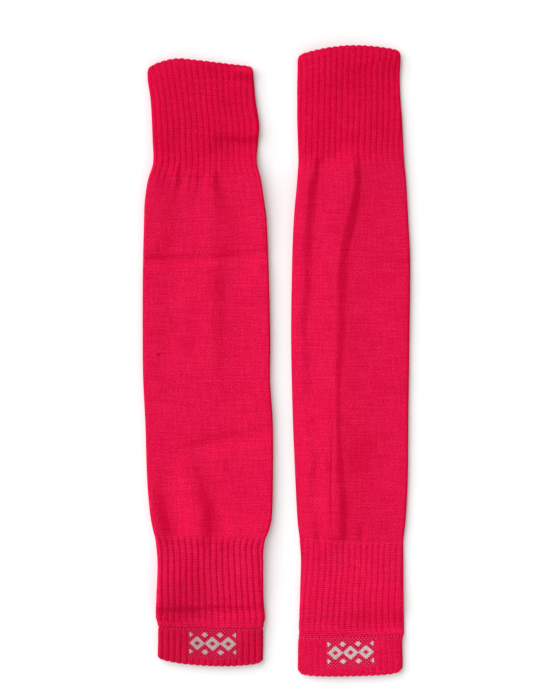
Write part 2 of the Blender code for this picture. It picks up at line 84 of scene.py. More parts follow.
# Each table's distances are below the mouth line and right of the tube's axis. An edge runs from
# -1 at the left side fold to 1 at the right one. A lean is how far left of straight the ribs stand,
# at the left and the right side fold. A fold is a ridge where its height is over 0 and a trough
# where it is under 0, with a slope as wide as `before` on its left or upper side and as `after` on
# the other.
left = Warmer(
    "left", -49.35, 206.5,
    [
        Section(0, -3.8, 37.0), Section(10, -3.4, 37.0), Section(24, -1.8, 36.6), Section(38, -0.3, 37.3),
        Section(45, 0.0, 37.4), Section(52, -0.2, 36.9), Section(68, -0.4, 36.3), Section(80, -0.8, 39.5),
        Section(94, -0.8, 41.7), Section(108, -0.2, 42.9), Section(150, 0.2, 44.2),
        Section(192, 0.6, 44.7), Section(220, 0.7, 44.4), Section(250, 2.4, 44.6),
        Section(290, 3.1, 44.0), Section(316, 3.9, 42.4), Section(325, 3.8, 40.5),
        Section(333, 3.2, 37.9), Section(346, 3.3, 36.8), Section(374, 3.1, 37.2),
        Section(386, 3.3, 37.9), Section(391, 3.5, 36.8), Section(402, 3.4, 36.6),
        Section(420, 3.0, 36.7),
    ],
    {
        "mouth": [
            Edge(-1, 5.0), Edge(-0.985, 2.2), Edge(-0.95, 0.9), Edge(-0.85, -1.1), Edge(-0.6, -4.0),
            Edge(-0.4, -4.9), Edge(-0.1, -3.9), Edge(0.4, -1.7), Edge(0.9, 0.4), Edge(0.965, 1.2),
            Edge(0.99, 2.6), Edge(1, 4.2),
        ],
        "cuff_seam": [Edge(-1, 76.5), Edge(0, 78.0), Edge(1, 77.5)],
    },
    [
        Lean(1, 1.7, 1.7), Lean(6, 0.2, 1.5), Lean(13, -0.4, 2.3), Lean(20, -0.7, 3.2),
        Lean(27, -0.8, 3.3), Lean(43, -1.4, 3.5), Lean(56, -1.2, 2.2), Lean(71, -1.2, 0.9),
        Lean(100, 0, 0), Lean(318, 0, 0), Lean(337, -2.35, 1.35), Lean(344, -1.95, 0.85),
        Lean(353, -1.85, 0.05), Lean(363, -2.05, -0.25), Lean(371, -2.65, -0.75), Lean(379, -2.85, -1.05),
        Lean(386, -2.05, -1.35), Lean(394, -1.4, -1.4), Lean(420, -2.2, -2),
    ],
    [
        [  # gathered pleat below the cuff, right of the middle, running out in a long hollow
            Bend(73, 8.0, 0.0, 4, 4), Bend(78, 9.8, -1.12, 6, 6), Bend(83, 11.4, -1.68, 7.5, 8),
            Bend(90, 14.9, -1.68, 9.5, 10), Bend(102, 23.0, -1.34, 15, 14),
            Bend(118, 24.0, -1.01, 16, 16), Bend(131, 22.5, -1.01, 16, 16),
            Bend(160, 19.0, -0.67, 13, 16), Bend(199, 17.6, -0.45, 12, 14), Bend(240, 17.0, 0.0, 12, 12),
        ],
        [  # crest left of that hollow
            Bend(76, 2.0, 0.0, 6, 6), Bend(90, 3.8, 0.9, 10, 8), Bend(105, 4.4, 0.5, 12, 9),
            Bend(131, 4.6, 0.6, 12, 9), Bend(160, 3.6, 1.1, 12, 11), Bend(205, 4.4, 0.6, 12, 10),
            Bend(240, 5.0, 0.0, 12, 10),
        ],
        [  # small pleat left of the middle
            Bend(70, -17.6, 0.0, 3, 4), Bend(77, -17.4, -1.34, 3.6, 5), Bend(83, -17.2, -1.57, 3.8, 5.5),
            Bend(87, -17.8, -0.9, 5, 6), Bend(94, -18.6, -0.34, 6, 8), Bend(104, -19.0, 0.0, 8, 8),
        ],
        [  # tiny one between the two
            Bend(72, -3.0, 0.0, 4, 4), Bend(79, -3.0, -0.67, 4, 5), Bend(85, -2.4, -0.45, 4.5, 5),
            Bend(92, -1.6, 0.0, 5, 5),
        ],
        [  # the left of the upper leg sinks from the side fold inwards
            Bend(66, -27.0, 0.0, 10, 8), Bend(78, -27.4, -1.12, 12, 8), Bend(90, -21.0, -1.46, 18, 12),
            Bend(102, -18.0, -1.57, 17, 22), Bend(118, -18.0, -1.34, 17, 22),
            Bend(131, -24.0, -1.3, 15, 16), Bend(160, -22.0, -0.8, 16, 14),
            Bend(199, -26.5, -0.7, 12, 12), Bend(235, -26.0, -0.3, 14, 12), Bend(255, -26.0, 0.0, 14, 12),
        ],
        [  # the right of the leg climbs to its side fold
            Bend(16, 42.0, 0.0, 34, 14), Bend(45, 43.0, 0.9, 34, 14), Bend(66, 43.0, 1.9, 32, 14),
            Bend(80, 43.5, 2.3, 26, 14), Bend(92, 45.0, 2.4, 24, 14), Bend(110, 46.5, 2.2, 23, 14),
            Bend(131, 47.0, 2.1, 22, 14), Bend(199, 47.0, 1.6, 24, 14), Bend(266, 47.5, 1.9, 30, 14),
            Bend(318, 47.0, 2.2, 33, 14), Bend(334, 44.0, 2.9, 42, 14), Bend(345, 42.0, 3.3, 46, 14),
            Bend(365, 42.0, 3.1, 46, 14), Bend(380, 42.0, 2.4, 46, 14), Bend(396, 42.0, 1.3, 38, 14),
            Bend(420, 42.0, 0.3, 30, 14),
        ],
        [  # the left side fold lies thicker than the middle at the ankle
            Bend(326, -36.0, 0.0, 4, 24), Bend(340, -35.0, 1.8, 4, 30), Bend(356, -35.0, 3.0, 4, 34),
            Bend(368, -35.0, 3.9, 4, 36), Bend(376, -35.0, 4.0, 4, 36), Bend(384, -35.0, 2.9, 4, 36),
            Bend(394, -35.0, 1.7, 4, 30), Bend(420, -35.0, 1.3, 4, 30),
        ],
        [  # and from there a long slope runs far over to the right
            Bend(336, -36.0, 0.0, 4, 60), Bend(352, -36.0, 1.8, 4, 62), Bend(366, -36.0, 3.0, 4, 64),
            Bend(375, -36.0, 2.9, 4, 66), Bend(384, -36.0, 1.6, 4, 66), Bend(394, -36.0, 0.4, 4, 62),
            Bend(402, -36.0, 0.0, 4, 60),
        ],
        [  # from its left side the cuff and the upper leg fall to a long hollow in the middle
            Bend(-6, -38.0, 0.0, 4, 36), Bend(14, -38.0, 1.4, 4, 38), Bend(45, -39.0, 2.2, 4, 38),
            Bend(77, -40.0, 1.9, 4, 40), Bend(110, -43.0, 1.1, 4, 40), Bend(150, -44.0, 0.8, 4, 38),
            Bend(240, -44.0, 0.8, 4, 38), Bend(275, -44.0, 0.0, 4, 36),
        ],
        [  # the left side of the upper cuff rolls down to the table
            Bend(-10, -39.5, -1.01, 4, 9), Bend(60, -38.5, -1.01, 4, 9), Bend(82, -41.0, -0.45, 4, 8),
            Bend(100, -43.0, 0.0, 4, 8),
        ],
    ],
    [
        [  # the right end of the mouth curls up a little
            Bend(16, 3.6, 0.0, 5, 4), Bend(23, 5.0, 1.3, 6, 4), Bend(38, 5.8, 1.8, 7, 4),
        ],
        [  # behind that edge the cloth dips
            Bend(-14, 8.0, 0.0, 6, 5), Bend(0, 8.4, -0.67, 8, 5), Bend(20, 11.0, -0.78, 6, 5),
            Bend(38, 12.4, -0.9, 6, 6),
        ],
        [  # bulge over the cuff's crease
            Bend(2, 42.0, 0.0, 6, 4), Bend(14, 46.0, 0.56, 12, 6), Bend(38, 46.6, 0.67, 13, 6),
        ],
        [  # shallow one under it, in the middle
            Bend(0, 56.0, 0.0, 8, 12), Bend(9, 56.0, -0.9, 9, 14), Bend(24, 57.0, -0.7, 8, 14),
            Bend(34, 57.0, 0.0, 8, 12),
        ],
        [  # crease across the right half of the cuff, curling up at its inner end
            Bend(0, 41.0, 0.0, 3, 3), Bend(6, 48.0, -0.45, 4, 5), Bend(12, 52.4, -1.35, 5, 9),
            Bend(18, 54.4, -2.1, 5.6, 14), Bend(28, 55.2, -2.35, 6, 16), Bend(38, 54.6, -2.1, 6, 16),
        ],
        [  # below it the cloth climbs towards the leg
            Bend(-12, 82.0, 0.0, 22, 30), Bend(6, 82.0, 0.6, 23, 36), Bend(38, 83.0, 1.9, 24, 44),
            Bend(46, 83.0, 1.9, 24, 44),
        ],
    ],
    seed=11,
)
right = Warmer(
    "right", 52.0, 216.3,
    [
        Section(0, -0.9, 36.1), Section(20, -1.4, 35.9), Section(48, -0.7, 36.6), Section(76, 0.5, 36.9),
        Section(90, 0.7, 38.1), Section(118, 0.3, 40.1), Section(146, 0.4, 41.3),
        Section(202, -0.2, 41.4), Section(258, 0.0, 40.4), Section(300, 0.7, 39.3),
        Section(328, 0.7, 37.8), Section(342, 0.7, 36.2), Section(356, 1.1, 35.7),
        Section(384, 0.7, 36.2), Section(400, 0.6, 36.7), Section(407, 0.6, 36.6),
        Section(411, -0.2, 36.3), Section(426, -0.3, 36.6), Section(437, -0.4, 36.4),
    ],
    {
        "mouth": [
            Edge(-1, 6.0), Edge(-0.985, 3.8), Edge(-0.9, 1.7), Edge(-0.6, -1.1), Edge(-0.3, -3.0),
            Edge(0.05, -4.1), Edge(0.45, -3.6), Edge(0.85, -1.7), Edge(0.95, -0.4), Edge(0.985, 1.0),
            Edge(1, 3.6),
        ],
        "cuff_seam": [Edge(-1, 80.0), Edge(0, 78.2), Edge(1, 77.0)],
    },
    [
        Lean(4, -0.45, -0.35), Lean(11, -1.15, 0.65), Lean(20, -1.55, 1.15), Lean(28, -1.35, 1.35),
        Lean(36, -1.15, 1.65), Lean(46, -0.85, 2.55), Lean(56, -0.65, 3.35), Lean(64, 0.15, 4.55),
        Lean(73, 0.65, 4.75), Lean(104, 0, 0), Lean(330, 0, 0), Lean(348, 0.4, 2.7), Lean(356, 1.2, 3),
        Lean(365, 1.4, 3.3), Lean(374, 2.2, 3.6), Lean(382, 2.7, 3.9), Lean(391, 2.9, 4.3),
        Lean(399, 3.8, 3.9), Lean(405, 3.7, 3.7), Lean(409, 0.4, 0.4), Lean(437, -0.4, -0.4),
    ],
    [
        [  # main fold, the whole length of the leg, gentle on its left and steep on its right
            Bend(64, 0.6, 0.0, 9, 5), Bend(76, 1.2, 1.3, 16, 5.6), Bend(82, 2.0, 2.4, 38, 5.2),
            Bend(92, 2.0, 2.8, 60, 5.8), Bend(105, -0.4, 3.0, 58, 7.2), Bend(121, -4.3, 3.0, 56, 8.6),
            Bend(138, -8.2, 2.8, 46, 8.4), Bend(150, -9.8, 2.8, 40, 8.6), Bend(165, -10.2, 2.5, 38, 8.4),
            Bend(191, -10.6, 2.1, 34, 8.4), Bend(219, -11.4, 1.7, 34, 6.6),
            Bend(243, -11.6, 1.25, 34, 5.6), Bend(264, -11.2, 1.3, 34, 5.4), Bend(284, -10.8, 1.7, 32, 6),
            Bend(298, -10.4, 1.9, 30, 6.6), Bend(312, -9.4, 2.45, 28, 7.4), Bend(326, -9.2, 2.6, 26, 7.8),
            Bend(337, -8.8, 2.46, 22, 7), Bend(342, -8.6, 0.9, 16, 6), Bend(350, -8.6, 0.0, 14, 5),
        ],
        [  # the lower leg slopes on down to the right of it
            Bend(150, -8.0, 0.0, 50, 26), Bend(180, -8.0, 0.6, 50, 28), Bend(219, -8.0, 1.1, 50, 28),
            Bend(243, -11.0, 1.8, 50, 30), Bend(264, -12.0, 3.5, 52, 32), Bend(284, -12.0, 3.5, 52, 32),
            Bend(298, -12.0, 2.1, 50, 30), Bend(312, -8.0, 1.4, 46, 26), Bend(330, -6.0, 0.8, 40, 24),
            Bend(342, -6.0, 0.4, 40, 22), Bend(352, -6.0, 0.0, 30, 20),
        ],
        [  # pinched line along the left of its crest
            Bend(230, -13.2, 0.0, 1.6, 1.8), Bend(250, -13.0, -0.3, 1.7, 1.9),
            Bend(284, -13.1, -0.45, 1.9, 1.9), Bend(298, -13.4, -0.45, 1.8, 2),
            Bend(326, -13.2, -0.45, 1.7, 1.9), Bend(340, -12.6, 0.0, 1.6, 1.8),
        ],
        [  # left shoulder of the upper leg
            Bend(72, -28.0, 0.0, 14, 8), Bend(82, -28.0, 1.7, 24, 8), Bend(93, -30.4, 2.4, 30, 8.6),
            Bend(105, -32.0, 2.6, 30, 9), Bend(121, -33.4, 2.4, 28, 9.4), Bend(138, -35.0, 1.8, 15, 10),
            Bend(150, -36.0, 1.6, 13, 10), Bend(165, -35.5, 1.57, 12, 9), Bend(191, -37.0, 1.23, 12, 8),
            Bend(219, -35.0, 1.01, 12, 9), Bend(243, -35.0, 0.45, 10, 10), Bend(262, -35.0, 0.0, 10, 10),
        ],
        [  # long hollow beside it
            Bend(72, -20.4, 0.0, 5, 6), Bend(78, -20.2, -1.4, 6, 9), Bend(83, -20.6, -1.0, 6, 20),
            Bend(92, -21.6, -0.6, 8, 24), Bend(105, -23.0, -0.4, 8, 24), Bend(121, -25.0, -0.35, 8, 16),
            Bend(138, -25.0, -0.45, 9, 12), Bend(150, -26.0, -0.9, 7, 9), Bend(165, -26.0, -0.67, 8, 9),
            Bend(191, -29.0, -0.75, 8, 22), Bend(219, -28.0, -0.9, 9, 24), Bend(243, -27.0, -1.0, 10, 22),
            Bend(264, -25.0, -0.9, 9, 12), Bend(284, -23.4, -0.78, 5, 7), Bend(298, -24.4, -1.01, 6, 8),
            Bend(312, -24.4, -0.78, 7, 8), Bend(326, -23.0, -1.01, 6, 7),
            Bend(336, -21.8, -1.57, 5.5, 6.5), Bend(341, -21.4, -0.9, 5, 6), Bend(346, -21.0, 0.0, 5, 6),
        ],
        [  # small pucker on the right, over the ankle
            Bend(328, 8.0, 0.0, 3, 4), Bend(336, 8.0, -0.9, 4.5, 4), Bend(341, 8.0, -0.56, 4, 4),
            Bend(347, 8.0, 0.0, 4, 4),
        ],
        [  # the top right of the cuff falls away
            Bend(-8, -14.0, 1.4, 26, 50), Bend(18, -12.0, 2.1, 28, 48), Bend(40, -6.0, 1.7, 32, 42),
            Bend(66, 0.0, 0.0, 30, 36),
        ],
        [  # its mouth sinks a little from the top edge
            Bend(-14, -30.0, 1.2, 20, 40), Bend(6, -30.0, 1.2, 20, 40), Bend(26, -26.0, 0.0, 20, 40),
        ],
        [  # the left side rolls down to the table
            Bend(-10, -38.5, -0.9, 4, 9), Bend(64, -39.0, -1.01, 4, 9), Bend(110, -43.0, -1.12, 4, 11),
            Bend(200, -43.5, -1.34, 4, 14), Bend(260, -43.5, -1.9, 4, 18), Bend(330, -41.5, -2.02, 4, 19),
            Bend(352, -38.5, -1.34, 4, 14), Bend(405, -38.5, -0.9, 4, 11), Bend(437, -38.0, -0.67, 4, 9),
        ],
    ],
    [
        [  # the mouth's right side sags
            Bend(-24, 24.0, 0.0, 16, 26), Bend(2, 23.0, -1.34, 19, 27), Bend(36, 22.5, -1.57, 19, 28),
        ],
        [  # faint groove where the ankle cuff starts
            Bend(-38, 340.2, -0.39, 2.2, 2), Bend(0, 342.0, -0.39, 2.2, 2),
            Bend(38, 342.0, -0.22, 2.2, 2),
        ],
        [  # the ankle cuff dips over its welt
            Bend(-34, 397.0, 0.0, 10, 4), Bend(-10, 402.0, -1.0, 14, 4), Bend(4, 404.0, -2.2, 15, 4),
            Bend(36, 402.0, -2.3, 15, 5), Bend(42, 402.0, -2.3, 15, 5),
        ],
        [  # its middle stands a little higher
            Bend(-38, 386.0, 1.01, 30, 18), Bend(38, 386.0, 1.01, 30, 18),
        ],
    ],
    seed=29,
)
warmers = (left, right)


def reading(rows, at, column):
    """Smooth readings of one column of a table, at places measured like its first column."""
    places = np.array([row[0] for row in rows], float)
    values = np.array([getattr(row, column) for row in rows], float)
    row = np.arange(len(rows))
    before, after = np.maximum(row - 1, 0), np.minimum(row + 1, len(rows) - 1)
    slopes = (values[after] - values[before]) / (places[after] - places[before])
    at = np.clip(at, places[0], places[-1])
    first = np.clip(np.searchsorted(places, at, "right") - 1, 0, len(rows) - 2)
    span = places[first + 1] - places[first]
    share = (at - places[first]) / span
    step = (values[first + 1] - values[first]) * share**2 * (3 - 2 * share)
    pull = share * (1 - share) ** 2 * slopes[first] - share**2 * (1 - share) * slopes[first + 1]
    return values[first] + step + span * pull


def ramp(value, full):
    """0 at 0, 1 from `full` on, and smooth between."""
    share = np.clip(value / full, 0.0, 1.0)
    return share**2 * (3 - 2 * share)


def wander(seed, x, y, length):
    """Smooth unevenness over a sheet, mostly between -1 and 1, with swells about `length` apart."""
    draws = np.random.default_rng(seed)
    total = 0.0
    for _ in range(7):
        angle, phase = draws.uniform(0, 2 * np.pi, 2)
        wave = length * draws.uniform(0.7, 1.8)
        total = total + np.sin((x * np.cos(angle) + y * np.sin(angle)) * 2 * np.pi / wave + phase)
    return total / 3.5


def fold_lift(fold, along, beside):
    """How far a fold moves the upper cloth up."""
    offset = beside - reading(fold, along, "beside")
    width = np.where(offset < 0, reading(fold, along, "before"), reading(fold, along, "after"))
    slope = np.clip(np.abs(offset) / width, 0, 1)
    there = (along >= fold[0].along) & (along <= fold[-1].along)
    return there * reading(fold, along, "height") * np.cos(slope * np.pi / 2) ** 2


def rib_profile(phase):
    """A rib's rise over its narrow channels, 0 to 1, with a faint dip between its two wales."""
    broad_top = 1 - np.abs(np.cos(np.pi * phase)) ** 7
    round_top = 0.72 + 0.28 * np.abs(np.sin(np.pi * phase))
    return broad_top * round_top - 0.07 * np.exp(-(((phase % 1 - 0.5) / 0.08) ** 2))


def girth(top_steps, under_steps):
    """Arrays of the points round a tube, from the left end of the upper cloth clockwise:
    across, the outward normal's x and z, the rib count, and whether it is the upper or the lower cloth."""
    over = np.arange(top_steps) / top_steps
    under = np.arange(under_steps) / under_steps
    turn = np.arange(FOLD_STEPS) / FOLD_STEPS
    zero, one = np.zeros, np.ones
    across = np.concatenate([2 * over - 1, one(FOLD_STEPS), 1 - 2 * under, -one(FOLD_STEPS)])
    side = np.concatenate([zero(top_steps), np.sin(np.pi * turn), zero(under_steps), -np.sin(np.pi * turn)])
    up = np.concatenate([one(top_steps), np.cos(np.pi * turn), -one(under_steps), -np.cos(np.pi * turn)])
    stretches = (RIBS_ACROSS * over, RIBS_ROUND_FOLD * turn, RIBS_ACROSS * under, RIBS_ROUND_FOLD * turn)
    starts = np.cumsum([0, RIBS_ACROSS, RIBS_ROUND_FOLD, RIBS_ACROSS])
    ribs = np.concatenate([stretch + start for stretch, start in zip(stretches, starts)])
    upper = np.concatenate([one(top_steps), zero(FOLD_STEPS + under_steps + FOLD_STEPS)])
    lower = np.concatenate([zero(top_steps + FOLD_STEPS), one(under_steps), zero(FOLD_STEPS)])
    return across, side, up, ribs, upper, lower


def row_plan(length, pitch, wall, free_top, free_bottom):
    """Rows of points down the outer skin, round the lower end, up the inner skin and round the upper
    end, as (share of the way down, share of the way in). A free end is rounded, a seam is square."""
    cap_top, cap_bottom = (0.5 * wall / length * free for free in (free_top, free_bottom))
    outer = np.linspace(cap_top, 1 - cap_bottom, round(length / pitch) + 1)
    inner = np.linspace(1 - cap_bottom, cap_top, round(length / INNER_PITCH) + 2)
    turn = np.linspace(0, np.pi, CAP_STEPS + 1)[1:-1]
    rows = [(share, 0.0) for share in outer]
    if free_bottom:
        rows += [(1 - cap_bottom * (1 - np.sin(a)), (1 - np.cos(a)) / 2) for a in turn]
    rows += [(share, 1.0) for share in inner]
    if free_top:
        rows += [(cap_top * (1 - np.sin(a)), (1 - np.cos(a)) / 2) for a in turn[::-1]]
    return np.array(rows).T


def length_between(warmer, upper, lower):
    """How long a stretch of the tube is, along its middle."""
    return reading(warmer.edges[lower], 0.0, "down") - reading(warmer.edges[upper], 0.0, "down")


def knit_tube(warmer, piece, upper, lower, wall, steps, pitch, relief, rib_height):
    """Makes one stretch of a tube as a closed wall, between its upper and its lower edge. `steps` are
    the points across the upper and the lower cloth, and `pitch` parts the rows down the outer skin."""
    across, side, up, ribs, is_upper, is_lower = girth(*steps)
    gap = {edge: 0.0 if edge in ("mouth", "hem") else SEAM_GAP / 2 for edge in (upper, lower)}
    reach = (across * (USUAL_HALF - LAID_THICKNESS / 2) + side * LAID_THICKNESS / 2) / USUAL_HALF
    top = reading(warmer.edges[upper], reach, "down") + gap[upper]
    bottom = reading(warmer.edges[lower], reach, "down") - gap[lower]
    length = float(length_between(warmer, upper, lower))
    share, inward = row_plan(length, pitch, wall, upper == "mouth", lower == "hem")
    share, inward = share[:, None], inward[:, None]

    # Where each point lies down the tube, with the ends of the ribs standing past their channels
    down = top + (bottom - top) * share
    from_top, from_bottom = down - top, bottom - down
    lean = reading(warmer.leans, down, "left") * (1 - across) / 2
    lean = lean + reading(warmer.leans, down, "right") * (1 + across) / 2
    phase = ribs + lean / RIB_PITCH
    off_folds = ramp(1 - np.abs(across), 0.12)
    free_edge = SCALLOP * (is_upper * (rib_profile(phase) - 0.6) - is_lower) * off_folds
    if upper == "mouth":
        down = down - free_edge * np.exp(-from_top / SCALLOP_REACH)
    if lower == "hem":
        down = down + free_edge * np.exp(-from_bottom / SCALLOP_REACH)

    # The flattened tube, then the upper cloth's lift, then the ribs
    radius = LAID_THICKNESS / 2 - wall * inward
    flat = reading(warmer.sections, down, "half") - LAID_THICKNESS / 2
    x = reading(warmer.sections, down, "centre") + across * flat + side * radius
    z = LAID_THICKNESS / 2 + up * radius
    lift = sum(fold_lift(fold, down, x) for fold in warmer.down_folds)
    lift = lift + sum(fold_lift(fold, x, down) for fold in warmer.cross_folds)
    lift = lift + SLACK * wander(warmer.seed, x, down, SLACK_SWELL) + CROWN * (1 - across**2)
    over_floor = lift - LOWEST_LIFT
    lift = LOWEST_LIFT + (over_floor + np.sqrt(over_floor**2 + SOFT_FLOOR)) / 2
    resting = 2 * wall - LAID_THICKNESS  # as low as the inner skin can lie on the lower cloth
    lift = lift * (1 - inward) + np.maximum(lift, resting) * inward
    upward = (1 + up) / 2
    z = z + upward * lift
    tight = 1 / (1 + BOXY_FOLD * np.clip(lift, 0, None))
    x = x + (np.sign(side) * np.abs(side) ** tight - side) * radius
    phase = phase + RIB_SWAY * wander(warmer.seed + 1, x, down, SWAY_SWELL)
    height = rib_height * relief(phase, from_top, from_bottom)
    height = height * (1 + RIB_UNEVEN * wander(warmer.seed + 2, x, down, UNEVEN_SWELL))
    full = rib_height if wall == RIB_WALL else 0.0
    rise = upward * height - (1 - upward) * SUNK_RIB * np.clip(full - height, 0, None)
    x = x + (1 - inward) * side * rise
    z = z + (1 - inward) * up * rise

    # The mesh: a grid that closes on itself both ways, wound so that it faces out
    rows, columns = z.shape
    points = np.stack([warmer.axis + x, warmer.mouth - down, z], axis=-1) * MM
    row, column = np.meshgrid(np.arange(rows), np.arange(columns), indexing="ij")
    corners = ((0, 0), (0, 1), (1, 1), (1, 0))
    faces = [((row + a) % rows) * columns + (column + b) % columns for a, b in corners]
    mesh = bpy.data.meshes.new(f"{warmer.name}_{piece}")
    mesh.from_pydata(points.reshape(-1, 3), [], np.stack(faces, axis=-1).reshape(-1, 4))
    mesh.shade_smooth()

    # Two maps: one in millimetres of knitting, and one that spreads the whole wall out for a bake
    start = 0.0
    if upper != "hem_seam":
        start = warmer.seed * MAP_PER_SEED + reading(warmer.edges[upper], 0.0, "down")
    wales = np.concatenate([phase, phase[:, :1] + RIBS_ROUND], axis=1) * RIB_PITCH
    courses = np.broadcast_to(start + share * length, (rows, columns + 1))
    weight = np.where(inward[:, 0] < 1, 1.0, INNER_SHARE)
    spread_down = np.append(0, np.cumsum(weight)) / weight.sum()
    spread_across = np.arange(columns + 1) / columns
    spread = np.meshgrid(spread_across, 1 - spread_down)
    closed = [np.concatenate([grid, grid[:1]]) for grid in (wales, courses)]
    for name, (wide, deep) in (("Stitches", closed), ("OFBake", spread)):
        corner = [
            np.stack([wide[row + a, column + b], deep[row + a, column + b]], axis=-1) for a, b in corners
        ]
        layer = mesh.uv_layers.new(name=name)
        layer.data.foreach_set("uv", np.stack(corner, axis=2).reshape(-1).astype(np.float32))
    mesh.uv_layers["Stitches"].active_render = True

    # Square ends keep a hard edge, so that the cloth's shading runs straight on over the seam
    outer_rows, inner_rows = np.nonzero(inward[:, 0] == 0)[0], np.nonzero(inward[:, 0] == 1)[0]
    hard = set()
    if upper != "mouth":
        hard |= {outer_rows[0], inner_rows[-1]}
    if lower != "hem":
        hard |= {outer_rows[-1], inner_rows[0]}
    ends = np.empty(len(mesh.edges) * 2, np.int32)
    mesh.edges.foreach_get("vertices", ends)
    ends = ends.reshape(-1, 2) // columns
    sharp = mesh.attributes.new("sharp_edge", "BOOLEAN", "EDGE")
    sharp.data.foreach_set("value", (ends[:, 0] == ends[:, 1]) & np.isin(ends[:, 0], list(hard)))

    cloth = bpy.data.objects.new(f"{warmer.name}_{piece}_knit", mesh)
    bpy.context.scene.collection.objects.link(cloth)
    return cloth


def top_cuff_relief(phase, from_top, from_bottom):
    """Full ribs that sink into the plain leg below, and lie flatter right at the mouth."""
    strength = 0.82 + 0.18 * ramp(from_bottom, 12.0)
    return rib_profile(phase) * strength * (0.5 + 0.5 * ramp(from_top, 8.0))


def linear(colour):
    """An sRGB hex colour as Blender's linear one."""
    channels = np.array([int(colour[i : i + 2], 16) for i in (0, 2, 4)]) / 255
    low, high = channels / 12.92, ((channels + 0.055) / 1.055) ** 2.4
    return (*np.where(channels <= 0.04045, low, high), 1.0)


def add(tree, kind, settings, inputs):
    """Adds a node: its settings by name, and its inputs by name or number, as values or as links."""
    node = tree.nodes.new(kind)
    for name, value in settings.items():
        setattr(node, name, value)
    for name, value in inputs.items():
        if isinstance(value, bpy.types.NodeSocket):
            tree.links.new(value, node.inputs[name])
        else:
            node.inputs[name].default_value = value
    return node


WALE = RIB_PITCH / 4  # two wales up and two down
AWAY_FROM_LIGHT = (0.79, -0.61, 0.0)  # the way the light falls across the table, from the upper left
PAINTED_SHADE_TINT = (1.0, 0.45, 0.74, 1.0)  # what the yarn's colour is multiplied by where it is painted in shade
